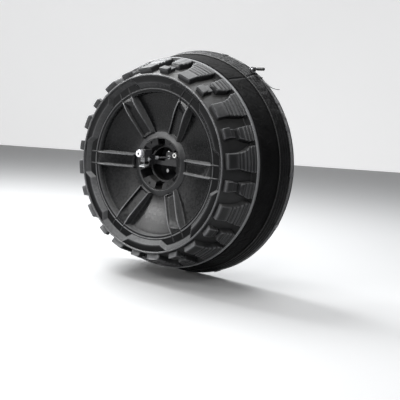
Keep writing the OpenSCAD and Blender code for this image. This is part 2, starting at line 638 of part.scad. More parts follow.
module buckle_pin() {
    color([0.6, 0.6, 0.62]) stand() {
        at(buk_a, buk_r) {
            translate([0, 0, h_end + 0.2]) cylinder(r = 2.5, h = 23.6);
            translate([0, 0, h_end - 1]) cylinder(r = 4, h = 2.2);
        }
        buckle_rivets() {
            translate([0, 0, 2.6]) cylinder(r = 1.9, h = 9);
            translate([0, 0, 2.3]) cylinder(r = 3.4, h = 1.5);
            translate([0, 0, 10.9]) cylinder(r = 3.4, h = 1.2);
        }
    }
}
// Lever: points along +X at rest, its pin is parallel to the wheel axis
lev_x = buk_r * cos(buk_a);
lev_y = buk_r * sin(buk_a);
module buckle_lever() {
    color([0.12, 0.12, 0.13]) stand() translate([lev_x, lev_y, 0]) difference() {
        union() {
            translate([0, 0, h_end + 4.3]) cylinder(r = 5.5, h = 15.4);
            translate([2, -2, h_end + 4.3]) cube([12, 4, 15.4]);
        }
        translate([0, 0, h_end]) cylinder(r = 2.53, h = 40);
    }
}
module lever_grip() {
    color([0.08, 0.08, 0.09]) stand() translate([lev_x, lev_y, h_end + 12]) rotate([0, 90, 0]) {
        translate([0, 0, 14]) cylinder(r1 = 4.6, r2 = 6, h = 3);
        translate([0, 0, 17]) cylinder(r = 6, h = 26);
        translate([0, 0, 43]) cylinder(r1 = 6, r2 = 4.5, h = 2.5);
    }
}
module strap_keeper() {
    // plate at the end of the moving strap that the buckle draws on
    color([0.25, 0.25, 0.27]) stand() at(split_a - 2.2) {
        translate([band_r + 2.45, -8, h_end + 2]) cube([2, 18, 20]);
        translate([band_r + 2.45, -8, h_end + 2]) cube([5, 2.4, 20]);
    }
}
// Free ends of the strap, as flat tongues seen edge on
module tongue(pts, z0, z1) { translate([0, 0, z0]) linear_extrude(z1 - z0) polygon(pts); }
module strap_tail_long() {
    color([0.07, 0.07, 0.075]) stand() tongue([[287, 330.5], [300, 323], [312, 314], [326, 306.5], [341, 302], [356, 300],
        [356, 298.8], [341, 299.8], [331, 300.4], [322, 303], [311, 308], [296, 319.5], [285.5, 328.5]],
        strap_h0 + 1, strap_h1 - 1);
}
module strap_tail_short() {
    color([0.07, 0.07, 0.075]) stand() tongue([[378.2, 219], [383, 212], [388, 205], [393, 199.5],
        [392, 198.4], [386.6, 204], [381.5, 211], [376.95, 217.65]], strap_h0 + 3, strap_h1 - 3);
}
// Round piping along the front edge of the flared rim
module piping(a0) {
    rotate([0, 0, a0 + split_g]) rotate_extrude(angle = 180 - 2 * split_g, $fn = 180)
        translate([417.5, hd(228)]) circle(r = 2.5, $fn = 24);
}
module edge_piping_left() { color([0.1, 0.1, 0.1]) stand() piping(split_a); }
module edge_piping_right() { color([0.1, 0.1, 0.1]) stand() piping(split_a + 180); }

face_shell();
tread_shell();
lip_bead();
face_brackets();
face_screws();
hub_bezel();
hub_cup();
cup_screws();
hub_sleeve();
mount_plate();
standoff_posts();
plate_screws();
arm_crossbar();
crossbar_set_screws();
cable_gland();
gland_nut();
gland_seal();
arm_rod();
arm_nut();
arm_sleeve();
tilt_bracket();
bracket_nut();
camera_body();
camera_back_cover();
lens_barrel();
lens_glass();
camera_leds();
tilt_pin();
tilt_pin_nut();
band_half_left();
band_half_right();
band_flange_left();
band_flange_right();
flange_gasket();
flange_screws();
hinge_leaf_left();
hinge_leaf_right();
hinge_pin();
hinge_rivets_left();
hinge_rivets_right();
rear_seal_left();
rear_seal_right();
strap_left();
strap_right();
strap_guides_left();
strap_guides_right();
buckle_base();
buckle_lever();
lever_grip();
buckle_pin();
strap_keeper();
strap_tail_long();
strap_tail_short();
edge_piping_left();
edge_piping_right();
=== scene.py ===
import json
import math

import bmesh
import bpy
import numpy as np
from mathutils import Matrix, Vector


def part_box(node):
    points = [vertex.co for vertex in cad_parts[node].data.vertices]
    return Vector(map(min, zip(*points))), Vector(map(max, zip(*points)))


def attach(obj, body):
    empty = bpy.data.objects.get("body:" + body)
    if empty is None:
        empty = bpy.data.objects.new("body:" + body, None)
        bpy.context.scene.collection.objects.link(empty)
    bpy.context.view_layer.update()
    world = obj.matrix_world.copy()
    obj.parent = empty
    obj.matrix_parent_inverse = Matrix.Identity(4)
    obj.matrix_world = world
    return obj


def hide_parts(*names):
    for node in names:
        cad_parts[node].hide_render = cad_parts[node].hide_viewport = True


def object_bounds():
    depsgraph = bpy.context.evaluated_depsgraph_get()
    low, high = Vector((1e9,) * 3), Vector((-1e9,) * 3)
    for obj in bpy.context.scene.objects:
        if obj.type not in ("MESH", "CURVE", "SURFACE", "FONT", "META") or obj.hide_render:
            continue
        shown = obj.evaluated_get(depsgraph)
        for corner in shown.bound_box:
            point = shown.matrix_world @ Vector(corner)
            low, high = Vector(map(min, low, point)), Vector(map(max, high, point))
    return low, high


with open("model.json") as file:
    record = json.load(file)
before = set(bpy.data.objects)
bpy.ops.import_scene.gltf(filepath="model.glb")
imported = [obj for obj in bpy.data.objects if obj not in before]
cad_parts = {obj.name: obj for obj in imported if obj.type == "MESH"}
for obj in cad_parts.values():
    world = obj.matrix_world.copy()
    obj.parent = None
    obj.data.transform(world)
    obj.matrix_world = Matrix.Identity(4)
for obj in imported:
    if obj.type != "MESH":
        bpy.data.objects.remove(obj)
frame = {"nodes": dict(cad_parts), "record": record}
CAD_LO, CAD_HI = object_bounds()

NODES = frame["nodes"]
MM = 0.001


# ------------------------------------------------------------------ materials
def nd(nt, kind, loc=(0, 0), **kw):
    n = nt.nodes.new(kind)
    n.location = loc
    for k, v in kw.items():
        if k in n.inputs:
            n.inputs[k].default_value = v
        else:
            setattr(n, k, v)
    return n


def ramp(nt, src, stops):
    r = nt.nodes.new("ShaderNodeValToRGB")
    e = r.color_ramp.elements
    while len(e) < len(stops):
        e.new(0.5)
    for i, (p, c) in enumerate(stops):
        e[i].position = p
        e[i].color = (*c, 1) if len(c) == 3 else c
    nt.links.new(src, r.inputs[0])
    return r


def mathn(nt, op, a, b=None, clamp=False):
    m = nt.nodes.new("ShaderNodeMath")
    m.operation = op
    m.use_clamp = clamp
    for i, v in enumerate((a, b)):
        if v is None:
            continue
        if isinstance(v, (int, float)):
            m.inputs[i].default_value = v
        else:
            nt.links.new(v, m.inputs[i])
    return m.outputs[0]


def moulded(name, col, rough=0.5, grain=1400, bump=0.12, dust_and_toplight=0.35, dust_toplight_col=(0.16, 0.155, 0.145),
            wear=0.0, spec=0.5, metal=0.0, mottle=0.25, streak=0.0, coat=0.0, painted_highlight=None, crease=0.0, matt=False):
    """Moulded plastic, rubber or coated metal: fine grain, mottling, dust with painted sky light on what faces up,
    worn edges, painted highlights on marked ridges.
    """
    m = bpy.data.materials.new(name)
    m.use_nodes = True
    nt = m.node_tree
    b = nt.nodes["Principled BSDF"]
    tc = nt.nodes.new("ShaderNodeTexCoord")
    fine = nd(nt, "ShaderNodeTexNoise", Scale=grain, Detail=3.0, Roughness=0.6)
    big = nd(nt, "ShaderNodeTexNoise", Scale=14.0, Detail=5.0, Roughness=0.62)
    mid = nd(nt, "ShaderNodeTexNoise", Scale=95.0, Detail=4.0, Roughness=0.65)
    for n in (fine, big, mid):
        nt.links.new(tc.outputs["Object"], n.inputs["Vector"])
    lo = tuple(c * (1 - mottle) for c in col)
    hi = tuple(c * (1 + mottle) + 0.002 for c in col)
    base = ramp(nt, big.outputs["Fac"], [(0.3, lo), (0.7, hi)])
    # dust on faces that look up, broken up by noise; the same mask also paints sky light onto those faces as a
    # painted highlight
    geo = nt.nodes.new("ShaderNodeNewGeometry")
    sep = nt.nodes.new("ShaderNodeSeparateXYZ")
    nt.links.new(geo.outputs["Normal"], sep.inputs[0])
    up = mathn(nt, "MAXIMUM", sep.outputs[2], 0.0)
    up = mathn(nt, "POWER", up, 1.6)
    brk = mathn(nt, "MULTIPLY", mid.outputs["Fac"], 1.7, True)
    d = mathn(nt, "MULTIPLY", up, brk)
    d = mathn(nt, "MULTIPLY", d, dust_and_toplight, True)
    mix = nt.nodes.new("ShaderNodeMix")
    mix.data_type = "RGBA"
    nt.links.new(d, mix.inputs[0])
    nt.links.new(base.outputs[0], mix.inputs[6])
    mix.inputs[7].default_value = (*dust_toplight_col, 1)
    colour = mix.outputs[2]
    if wear > 0:
        edge = ramp(nt, geo.outputs["Pointiness"], [(0.5, (0, 0, 0)), (0.56, (1, 1, 1))])
        e = mathn(nt, "MULTIPLY", edge.outputs[0], wear)
        e = mathn(nt, "MULTIPLY", e, mid.outputs["Fac"], True)
        mx = nt.nodes.new("ShaderNodeMix")
        mx.data_type = "RGBA"
        nt.links.new(e, mx.inputs[0])
        nt.links.new(colour, mx.inputs[6])
        mx.inputs[7].default_value = (min(1, col[0] * 4 + 0.08), min(1, col[1] * 4 + 0.08), min(1, col[2] * 4 + 0.085), 1)
        colour = mx.outputs[2]
    if painted_highlight:
        # painted highlights on ridges and corners marked on the mesh, which are also made a little less rough
        att = nd(nt, "ShaderNodeAttribute", attribute_name="edge")
        e = mathn(nt, "MULTIPLY", att.outputs["Fac"], mathn(nt, "ADD", mathn(nt, "MULTIPLY", mid.outputs["Fac"], 0.9), 0.5), True)
        mx = nt.nodes.new("ShaderNodeMix")
        mx.data_type = "RGBA"
        nt.links.new(e, mx.inputs[0])
        nt.links.new(colour, mx.inputs[6])
        mx.inputs[7].default_value = (*painted_highlight, 1)
        colour = mx.outputs[2]
    nt.links.new(colour, b.inputs["Base Color"])
    r0 = mathn(nt, "MULTIPLY", mid.outputs["Fac"], 0.22)
    r1 = mathn(nt, "ADD", r0, rough - 0.11)
    if painted_highlight:
        r1 = mathn(nt, "SUBTRACT", r1, mathn(nt, "MULTIPLY", e, 0.08))
    r2 = mathn(nt, "MULTIPLY", d, 0.35)
    r3 = mathn(nt, "ADD", r1, r2, True)
    if matt:
        # grained flats, duller than the smooth dishes
        mt = nd(nt, "ShaderNodeAttribute", attribute_name="matt")
        r3 = mathn(nt, "ADD", r3, mathn(nt, "MULTIPLY", mt.outputs["Fac"], 0.2), True)
        sp = mathn(nt, "SUBTRACT", spec, mathn(nt, "MULTIPLY", mt.outputs["Fac"], spec * 0.7), True)
        nt.links.new(sp, b.inputs["Specular IOR Level"])
    else:
        b.inputs["Specular IOR Level"].default_value = spec
    nt.links.new(r3, b.inputs["Roughness"])
    b.inputs["Metallic"].default_value = metal
    if coat:
        b.inputs["Coat Weight"].default_value = coat
        b.inputs["Coat Roughness"].default_value = 0.2
    h = fine.outputs["Fac"]
    if streak:
        wv = nd(nt, "ShaderNodeTexNoise", Scale=60.0, Detail=2.0)
        mp = nt.nodes.new("ShaderNodeMapping")
        mp.inputs["Scale"].default_value = (1, 22, 1)
        nt.links.new(tc.outputs["Object"], mp.inputs[0])
        nt.links.new(mp.outputs[0], wv.inputs["Vector"])
        h = mathn(nt, "ADD", h, mathn(nt, "MULTIPLY", wv.outputs["Fac"], streak))
    bp = nd(nt, "ShaderNodeBump", Strength=bump, Distance=0.0006)
    nt.links.new(h, bp.inputs["Height"])
    bp2 = nd(nt, "ShaderNodeBump", Strength=bump * 0.5, Distance=0.0015)
    nt.links.new(mid.outputs["Fac"], bp2.inputs["Height"])
    nt.links.new(bp.outputs[0], bp2.inputs["Normal"])
    last = bp2
    if crease:
        # soft creases and dents, larger than the grain
        cr = nd(nt, "ShaderNodeTexNoise", Scale=26.0, Detail=3.0, Roughness=0.55, Distortion=0.8)
        nt.links.new(tc.outputs["Object"], cr.inputs["Vector"])
        bp3 = nd(nt, "ShaderNodeBump", Strength=crease, Distance=0.008)
        nt.links.new(cr.outputs["Fac"], bp3.inputs["Height"])
        nt.links.new(bp2.outputs[0], bp3.inputs["Normal"])
        last = bp3
    nt.links.new(last.outputs[0], b.inputs["Normal"])
    return m


def webbing(name, col):
    """Woven strap: ribs across a fine twill, from the object's own coordinates."""
    m = bpy.data.materials.new(name)
    m.use_nodes = True
    nt = m.node_tree
    b = nt.nodes["Principled BSDF"]
    tc = nt.nodes.new("ShaderNodeTexCoord")
    uv = nt.nodes.new("ShaderNodeMapping")
    nt.links.new(tc.outputs["UV"], uv.inputs[0])
    w1 = nd(nt, "ShaderNodeTexWave", Scale=1.0, Distortion=0.3)
    uv.inputs["Scale"].default_value = (420, 420, 420)
    w1.bands_direction = "X"
    nt.links.new(uv.outputs[0], w1.inputs["Vector"])
    w2 = nd(nt, "ShaderNodeTexWave", Scale=0.8, Distortion=0.3)
    w2.bands_direction = "Y"
    nt.links.new(uv.outputs[0], w2.inputs["Vector"])
    h = mathn(nt, "MULTIPLY", w1.outputs["Fac"], w2.outputs["Fac"])
    n = nd(nt, "ShaderNodeTexNoise", Scale=300.0, Detail=4.0)
    nt.links.new(tc.outputs["Object"], n.inputs["Vector"])
    h = mathn(nt, "ADD", h, mathn(nt, "MULTIPLY", n.outputs["Fac"], 0.5))
    r = ramp(nt, h, [(0.15, tuple(c * 0.55 for c in col)), (1.0, tuple(c * 1.7 + 0.006 for c in col))])
    nt.links.new(r.outputs[0], b.inputs["Base Color"])
    rr = mathn(nt, "ADD", mathn(nt, "MULTIPLY", n.outputs["Fac"], 0.2), 0.62)
    nt.links.new(rr, b.inputs["Roughness"])
    b.inputs["Sheen Weight"].default_value = 0.25
    bp = nd(nt, "ShaderNodeBump", Strength=0.5, Distance=0.0007)
    nt.links.new(h, bp.inputs["Height"])
    nt.links.new(bp.outputs[0], b.inputs["Normal"])
    return m


def metal(name, col, rough=0.3, scratch=0.4, grime=0.25, m_=1.0):
    """Bare or plated metal with fine brushing, blotches and grime in the noise's hollows."""
    m = bpy.data.materials.new(name)
    m.use_nodes = True
    nt = m.node_tree
    b = nt.nodes["Principled BSDF"]
    tc = nt.nodes.new("ShaderNodeTexCoord")
    mp = nt.nodes.new("ShaderNodeMapping")
    mp.inputs["Scale"].default_value = (1, 0.06, 1)
    nt.links.new(tc.outputs["Object"], mp.inputs[0])
    br = nd(nt, "ShaderNodeTexNoise", Scale=2400.0, Detail=2.0)
    nt.links.new(mp.outputs[0], br.inputs["Vector"])
    bl = nd(nt, "ShaderNodeTexNoise", Scale=120.0, Detail=5.0, Roughness=0.6)
    nt.links.new(tc.outputs["Object"], bl.inputs["Vector"])
    c = ramp(nt, bl.outputs["Fac"], [(0.25, tuple(x * (1 - grime) for x in col)), (0.6, col)])
    nt.links.new(c.outputs[0], b.inputs["Base Color"])
    r = mathn(nt, "ADD", mathn(nt, "MULTIPLY", bl.outputs["Fac"], 0.3), rough - 0.14)
    r = mathn(nt, "ADD", r, mathn(nt, "MULTIPLY", br.outputs["Fac"], 0.12), True)
    nt.links.new(r, b.inputs["Roughness"])
    b.inputs["Metallic"].default_value = m_
    bp = nd(nt, "ShaderNodeBump", Strength=scratch * 0.25, Distance=0.0003)
    nt.links.new(br.outputs["Fac"], bp.inputs["Height"])
    nt.links.new(bp.outputs[0], b.inputs["Normal"])
    return m


def tipped(name, shade_col, bare, y_edge):
    """Sheet metal made near-black behind y_edge as painted shade deep in the hub, whose front tongue, ahead of
    y_edge, is bare.
    """
    m = bpy.data.materials.new(name)
    m.use_nodes = True
    nt = m.node_tree
    b = nt.nodes["Principled BSDF"]
    tc = nt.nodes.new("ShaderNodeTexCoord")
    geo = nt.nodes.new("ShaderNodeNewGeometry")
    sep = nt.nodes.new("ShaderNodeSeparateXYZ")
    nt.links.new(geo.outputs["Position"], sep.inputs[0])
    n = nd(nt, "ShaderNodeTexNoise", Scale=260.0, Detail=5.0, Roughness=0.65)
    nt.links.new(tc.outputs["Object"], n.inputs["Vector"])
    # ragged edge of the painted shade, and small bare chips elsewhere
    y = mathn(nt, "ADD", sep.outputs[1], mathn(nt, "MULTIPLY", n.outputs["Fac"], 0.002))
    tip = mathn(nt, "LESS_THAN", y, y_edge + 0.001)
    chips = ramp(nt, n.outputs["Fac"], [(0.60, (0, 0, 0)), (0.66, (0.5, 0.5, 0.5))])
    f = mathn(nt, "MAXIMUM", tip, chips.outputs[0])
    mix = nt.nodes.new("ShaderNodeMix")
    mix.data_type = "RGBA"
    nt.links.new(f, mix.inputs[0])
    mix.inputs[6].default_value = (*shade_col, 1)
    mix.inputs[7].default_value = (*bare, 1)
    nt.links.new(mix.outputs[2], b.inputs["Base Color"])
    nt.links.new(mathn(nt, "ADD", mathn(nt, "MULTIPLY", n.outputs["Fac"], 0.3), 0.28), b.inputs["Roughness"])
    nt.links.new(mathn(nt, "MULTIPLY", f, 0.5), b.inputs["Metallic"])
    bp = nd(nt, "ShaderNodeBump", Strength=0.12, Distance=0.0003)
    nt.links.new(n.outputs["Fac"], bp.inputs["Height"])
    nt.links.new(bp.outputs[0], b.inputs["Normal"])
    return m


def glassy(name, col):
    m = bpy.data.materials.new(name)
    m.use_nodes = True
    nt = m.node_tree
    b = nt.nodes["Principled BSDF"]
    tc = nt.nodes.new("ShaderNodeTexCoord")
    n = nd(nt, "ShaderNodeTexNoise", Scale=400.0, Detail=4.0)
    nt.links.new(tc.outputs["Object"], n.inputs["Vector"])
    c = ramp(nt, n.outputs["Fac"], [(0.3, col), (0.8, tuple(x * 1.6 for x in col))])
    nt.links.new(c.outputs[0], b.inputs["Base Color"])
    r = mathn(nt, "MULTIPLY", n.outputs["Fac"], 0.12)
    nt.links.new(r, b.inputs["Roughness"])
    b.inputs["Coat Weight"].default_value = 1.0
    b.inputs["Coat Roughness"].default_value = 0.03
    bp = nd(nt, "ShaderNodeBump", Strength=0.03, Distance=0.0002)
    nt.links.new(n.outputs["Fac"], bp.inputs["Height"])
    nt.links.new(bp.outputs[0], b.inputs["Normal"])
    return m


# In these materials the up-facing dust also stands in for painted sky light, most of all on the bezel's top.
M = {
    # the colours laid on marked ridges (shell, tread, tread_base) are painted highlights
    "shell": moulded("shell_plastic", (0.0040, 0.0041, 0.0044), rough=0.27, bump=0.10, dust_and_toplight=0.75, dust_toplight_col=(0.23, 0.23, 0.228), wear=0.25, spec=0.145, matt=True, painted_highlight=(0.125, 0.126, 0.129)),
    "tread": moulded("tread_plastic", (0.0058, 0.0059, 0.0063), rough=0.38, bump=0.18, dust_and_toplight=0.5, dust_toplight_col=(0.12, 0.12, 0.118), wear=0.3, grain=900, spec=0.26, painted_highlight=(0.105, 0.106, 0.109)),
    "bead": moulded("bead_plastic", (0.04, 0.0405, 0.042), rough=0.3, bump=0.06, dust_and_toplight=0.45, wear=0.4),
    "bezel": moulded("bezel_plastic", (0.010, 0.0102, 0.0108), rough=0.33, bump=0.1, dust_and_toplight=1.0, dust_toplight_col=(0.36, 0.36, 0.358), wear=0.3, spec=0.32),
    "skin": moulded("tread_base", (0.0080, 0.0081, 0.0084), rough=0.46, bump=0.22, dust_and_toplight=0.25, wear=0.2, grain=900, spec=0.3, painted_highlight=(0.16, 0.162, 0.165)),
    "cup": moulded("cup_plastic", (0.005, 0.005, 0.0054), rough=0.42, bump=0.15, dust_and_toplight=0.2, wear=0.12, spec=0.22),
    "band": moulded("band_plastic", (0.0028, 0.0028, 0.0030), rough=0.5, bump=0.2, dust_and_toplight=0.04, wear=0.1, streak=0.4, spec=0.13, crease=1.0, matt=True),
    "rubber": moulded("seal_rubber", (0.009, 0.009, 0.009), rough=0.62, bump=0.25, dust_and_toplight=0.2, mottle=0.35),
    "guide": moulded("guide_plastic", (0.03, 0.03, 0.032), rough=0.42, bump=0.15, dust_and_toplight=0.4, wear=0.4),
    "webbing": webbing("strap_webbing", (0.034, 0.034, 0.035)),
    "zinc_steel": metal("zinc_steel", (0.55, 0.56, 0.58), 0.34),
    "black_steel": moulded("black_steel", (0.005, 0.005, 0.0054), rough=0.5, bump=0.1, dust_and_toplight=0.08, wear=0.3, spec=0.2),
    "grey_steel": moulded("grey_steel", (0.012, 0.0122, 0.013), rough=0.5, bump=0.12, dust_and_toplight=0.12, wear=0.4, spec=0.3),
    "arm_metal": metal("arm_metal", (0.74, 0.75, 0.77), 0.42, m_=0.5),
    "camera_black": moulded("camera_black", (0.012, 0.012, 0.013), rough=0.35, bump=0.08, dust_and_toplight=0.15, wear=0.2),
    "lens_ring": metal("lens_ring", (0.60, 0.60, 0.62), 0.36, scratch=0.2, grime=0.15, m_=0.55),
    "arm_dark": metal("arm_rod_metal", (0.20, 0.20, 0.205), 0.45, m_=0.4),
    # the bracket is dark but for its tongue: painted shade inside the hub
    "bracket": tipped("bracket_shade", (0.010, 0.010, 0.011), (0.40, 0.405, 0.41), -0.2085),
    "lens": glassy("lens_glass_dark", (0.006, 0.008, 0.014)),
    "led": moulded("led_clear", (0.26, 0.27, 0.29), rough=0.15, bump=0.02, dust_and_toplight=0.05, mottle=0.08),
    "white_nylon": moulded("white_nylon", (0.82, 0.82, 0.80), rough=0.4, bump=0.06, dust_and_toplight=0.15, mottle=0.05),
}


# ------------------------------------------------------------------ mesh helpers
def P(r, a, d):
    """Point at radius r (mm), angle a (degrees, anticlockwise seen from the front), depth d (mm) behind the lip."""
    q = math.radians(a)
    return (r * math.cos(q) * MM, (d - 200.0) * MM, r * math.sin(q) * MM)


def PT(r, a, t, d):
    """Point on the circle of radius r, offset sideways by t from the direction a."""
    q = math.radians(a)
    x = math.sqrt(max(r * r - t * t, 0.0))
    c, s = math.cos(q), math.sin(q)
    return ((x * c - t * s) * MM, (d - 200.0) * MM, (x * s + t * c) * MM)


def new_obj(name, verts, faces, mat, smooth=True):
    me = bpy.data.meshes.new(name)
    me.from_pydata(verts, [], faces)
    bm = bmesh.new()
    bm.from_mesh(me)
    bmesh.ops.recalc_face_normals(bm, faces=bm.faces)
    bm.to_mesh(me)
    bm.free()
    me.polygons.foreach_set("use_smooth", [smooth] * len(me.polygons))
    o = bpy.data.objects.new(name, me)
    bpy.context.scene.collection.objects.link(o)
    o.data.materials.append(M[mat])
    return o


def mark_edges(o, vals, name="edge"):
    """One value from 0 to 1 per vertex: how much painted highlight that place gets, or how matt it is."""
    at = o.data.attributes.new(name, "FLOAT", "POINT")
    at.data.foreach_set("value", [float(v) for v in vals])


def grid_faces(rows, cols, wrap_u=False, wrap_v=False, base=0):
    f = []
    for i in range(rows if wrap_v else rows - 1):
        i2 = (i + 1) % rows
        for j in range(cols if wrap_u else cols - 1):
            j2 = (j + 1) % cols
            f.append((base + i * cols + j, base + i * cols + j2, base + i2 * cols + j2, base + i2 * cols + j))
    return f


def revolve(name, prof, mat, a0=0.0, a1=360.0, segs=240, wobble=None):
    """Closed profile [(r, d)] turned about the wheel axis from a0 to a1."""
    full = abs(a1 - a0) >= 359.99
    n = segs if full else segs + 1
    verts = []
    for i in range(n):
        a = a0 + (a1 - a0) * i / segs
        for (r, d) in prof:
            w = wobble(a, r, d) if wobble else 0.0
            verts.append(P(r + w, a, d))
    k = len(prof)
    faces = grid_faces(n, k, wrap_u=True, wrap_v=full)
    if not full:
        faces.append(tuple(range(k)))
        faces.append(tuple(reversed(range((n - 1) * k, n * k))))
    return new_obj(name, verts, faces, mat)


def rounded(pts, rad, n=3):
    """Rounds the corners of a closed (r, d) polygon; rad is one number or a list."""
    out = []
    k = len(pts)
    for i in range(k):
        p0, p1, p2 = (np.array(pts[(i + s) % k], float) for s in (-1, 0, 1))
        rr = rad[i] if isinstance(rad, (list, tuple)) else rad
        a, b = p0 - p1, p2 - p1
        la, lb = np.linalg.norm(a), np.linalg.norm(b)
        c = min(rr, la * 0.45, lb * 0.45)
        if c < 0.05:
            out.append(tuple(p1))
            continue
        q0, q2 = p1 + a / la * c, p1 + b / lb * c
        for s in range(n + 1):
            u = s / n
            out.append(tuple((1 - u) ** 2 * q0 + 2 * u * (1 - u) * p1 + u * u * q2))
    return out


def lerp(x, xs, ys):
    return float(np.interp(x, xs, ys))


def sub(o, lv=1):
    s = o.modifiers.new("sub", "SUBSURF")
    s.levels = s.render_levels = lv
    return o


def bevel(o, w, seg=2, ang=32):
    b = o.modifiers.new("bevel", "BEVEL")
    b.width = w * MM
    b.segments = seg
    b.limit_method = "ANGLE"
    b.angle_limit = math.radians(ang)
    b.use_clamp_overlap = True
    b.harden_normals = False
    return o


# ------------------------------------------------------------------ face shell
def build_face():
    half = 28.0
    tc = [9, 17.2, 18.6, 19.5, 20.2, 21.0, 22.4, 23.8, 24.8, 25.8, 26.8, 28]
    tcols = [-t for t in reversed(tc)] + [0] + tc
    wang = [6.9, 8.2, 9.7, 10.5, 11.0, 11.6, 13.25, 14.9, 15.5, 16.1, 18, 21, 24, 27]
    e262 = math.degrees(math.asin(half / 262))
    cols = [("t", t) for t in tcols] + [("w", 1, a) for a in wang] + [("w", 1, 30.0)] + [("w", -1, a) for a in reversed(wang)]

    def zt(a):
        return lerp(abs(a), [0, 11.0, 15.5, 30], [316.6, 316.6, 293.2, 293.2])

    def zb(a):
        return lerp(abs(a), [0, 11.0, 15.5, 30], [300.0, 300.0, 277.4, 277.4])

    S_r = [100, 119, 153, 187, 218, 236, 250, 262, 300]
    S_d = [63, 58, 45.5, 32, 21, 17.0, 16.4, 16.6, 17.0]

    def spoke(r):
        return lerp(r, S_r, S_d)

    def base_rows():
        """(kind, parameter) of each row from the outside in, with a function giving radius and depth."""
        rows = []
        rows.append(lambda a: (317.7, 15.5))
        rows.append(lambda a: (317.7, 14.5))
        rows.append(lambda a: (317.7, 3.6))
        rows.append(lambda a: (317.5, 2.6))
        rows.append(lambda a: (317.2, 2.2))
        for f, dd in ((0.35, 0.0), (0.75, 0.0), (0.93, 0.0)):
            rows.append(lambda a, f=f: (317.2 + (zt(a) + 0.6 - 317.2) * f, 2.2))
        for f, dd in ((0.0, 2.35), (0.035, 3.0), (0.10, 4.2), (0.5, 10.2), (0.90, 16.3), (0.965, 17.5), (1.03, 18.0)):
            rows.append(lambda a, f=f, dd=dd: (zt(a) + (zb(a) - zt(a)) * f, dd))
        for f in (0.12, 0.5, 0.85):
            rows.append(lambda a, f=f: (zb(a) + (276.2 - zb(a)) * f, 18.0))
        for r, d in ((275.2, 17.9), (274.3, 16.9), (272.6, 16.3), (270.9, 16.9), (270.0, 17.9), (268.6, 18.0), (265.6, 18.0),
                     (263.6, 18.15), (262.6, 18.7), (261.9, 19.7), (261.6, 21.4), (261.2, 31), (260.7, 41.2),
                     (260.3, 42.8), (259.4, 44.2), (257.4, 45.6), (254, 46.8), (248, 48.8)):
            rows.append(lambda a, r=r, d=d: (r, d))
        for r in (238, 226, 214, 202, 190, 178, 166, 154, 143, 134, 127, 122.5, 120.3, 119.0, 117.5, 111, 104.3):
            rows.append(lambda a, r=r: (r, 75.0 - 31.0 * ((max(r, 119.0) - 119) / 143) ** 1.6))
        return rows

    rows = base_rows()
    verts = []
    marks = []
    # rows given a painted highlight: the top of the step, its wall, the shelf's bead and the rim of the window walls
    row_highlight = {6: 0.03, 7: 0.3, 8: 0.75, 9: 0.62, 10: 0.5, 11: 0.45, 12: 0.42, 13: 0.35, 14: 0.05, 19: 0.85, 20: 1.0, 21: 0.85,
                26: 0.5, 27: 0.95, 28: 0.8, 29: 0.3}

    def highlight_at(ri, ang):
        # the painted highlight is stronger on the lower half, whose walls face up to the sky, than on the upper
        return row_highlight.get(ri, 0.0) * (0.62 - 0.38 * math.sin(math.radians(ang + 25)))

    grid = []
    for ri, row in enumerate(rows):
        line = []
        for k in range(6):
            for c in cols:
                if c[0] == "t":
                    t = c[1]
                    r, d = row(0.0)
                    th = math.degrees(math.asin(t / r))
                    at = abs(t)
                    # surface of the spoke and its two ridges
                    s = spoke(r)
                    if 119 <= r <= 262.5 or r < 119:
                        if r < 119:
                            dd = d
                        else:
                            if at >= 27.5:
                                dd = d
                            elif at >= 26.5:
                                dd = d * 0.8 + s * 0.2 if d > s else d
                            elif at >= 25.5:
                                dd = s + 1.9
                            elif at >= 24.5:
                                dd = s + 0.5
                            elif at >= 20.9:
                                dd = s - 0.3
                            else:
                                # channel with a slanted outer end
                                re = 241 + (t / 18.0) * 13.0
                                ch = lerp(r, [re - 9, re - 7.5, re - 0.5, re + 1.0], [12.5, 11.8, 2.4, 2.0])
                                if r < 128:
                                    ch = lerp(r, [119, 123, 128], [4.0, 9.5, 12.5])
                                if at > 20.1:
                                    dd = s + 0.5
                                elif at > 19.4:
                                    dd = s + ch * 0.22
                                elif at > 18.5:
                                    dd = s + ch * 0.93
                                else:
                                    dd = s + ch
                                dd = min(dd, d)
                            if r < 121.0 and at < 27.5:
                                dd = min(d, dd)
                    else:
                        # the ridges run on over the shelf
                        hgt = lerp(r, [262, 290, 296, 299], [2.4, 2.2, 1.4, 0.0])
                        dd = d
                        if 20.9 < at < 24.5:
                            dd = d - hgt
                        elif 24.5 <= at < 25.5 or 20 < at <= 20.9:
                            dd = d - hgt * 0.6
                    line.append(P(r, 60 * k + th, dd))
                    mk = highlight_at(ri, 60 * k + th)
                    # painted highlights along the spoke rails, faint over the shelf and dimmer on the two upper
                    # spokes (k 1 and 2)
                    if 121 < r < 298 and 20.9 < at < 25.5:
                        mk = (1.0 if at < 24.5 else 0.6) * (0.12 if r > 262.7 else 1.0)
                        if k in (1, 2) and r < 262.7:
                            mk *= lerp(r, [170, 215], [0.35, 0.95])
                    elif 121 < r < 262 and at >= 20.1:
                        mk = 0.3
                    elif r < 262.7 and at < 26:
                        mk = 0.0
                    marks.append(mk)
                else:
                    a = c[1] * c[2]
                    e = math.degrees(math.asin(half / max(row(a)[0], 104)))
                    r, d = row(a)
                    if r < 262:
                        th = e + (30 - e) * (c[2] - e262) / (30 - e262)
                    else:
                        th = c[2]
                    if c[2] == 30.0:
                        th = 30.0
                    line.append(P(r, 60 * k + c[1] * th, d))
                    marks.append(highlight_at(ri, 60 * k + c[1] * th))
        grid.append(line)
    for line in grid:
        verts += line
